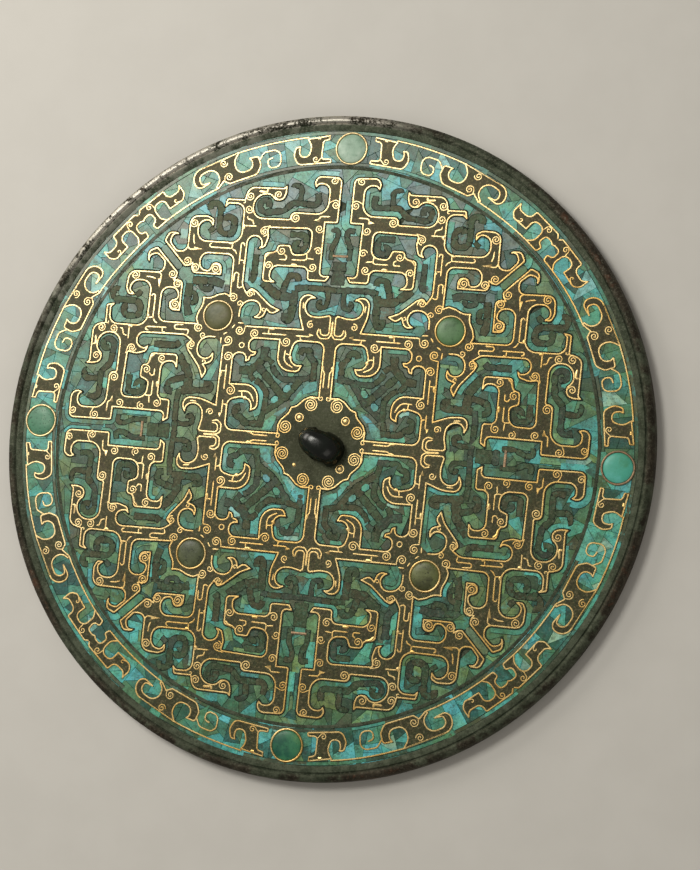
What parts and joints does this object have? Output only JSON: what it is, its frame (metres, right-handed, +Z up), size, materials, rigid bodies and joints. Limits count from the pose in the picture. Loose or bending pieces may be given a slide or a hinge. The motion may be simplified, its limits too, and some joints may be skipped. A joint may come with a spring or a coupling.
{
  "type": "ancient bronze mirror",
  "caption": "Round bronze mirror lying on its polished face, its back inlaid with gold line strapwork, turquoise tesserae and domed stones round a pierced knob.",
  "frame": {"origin": "centre of the flat polished face, on the surface that the mirror lies on", "axes": "+Z up out of the inlaid back, +X to the east roundel, +Y to the north roundel"},
  "size_m": [0.21, 0.21, 0.0125],
  "materials": {
    "bronze": "aged cast bronze, dark brown-grey with green patina, worn bright on the lip",
    "turquoise": "polished turquoise and malachite tesserae with thin dark joints",
    "gold": "inlaid gold wire and collars, softly worn",
    "stone": "polished domed green stone, mottled and pitted"
  },
  "bodies": {
    "root": {"mirror_disc": "bronze", "turquoise_field": "turquoise", "turquoise_cell_northeast": "turquoise", "turquoise_cell_southeast": "turquoise", "turquoise_cell_southwest": "turquoise", "turquoise_cell_northwest": "turquoise", "collar_north": "gold", "collar_northeast": "gold", "collar_east": "gold", "collar_southeast": "gold", "collar_south": "gold", "collar_southwest": "gold", "collar_west": "gold", "collar_northwest": "gold", "stone_north": "stone", "stone_northeast": "stone", "stone_east": "stone", "stone_southeast": "stone", "stone_south": "stone", "stone_southwest": "stone", "stone_west": "stone", "stone_northwest": "stone"}
  },
  "joints": []
}
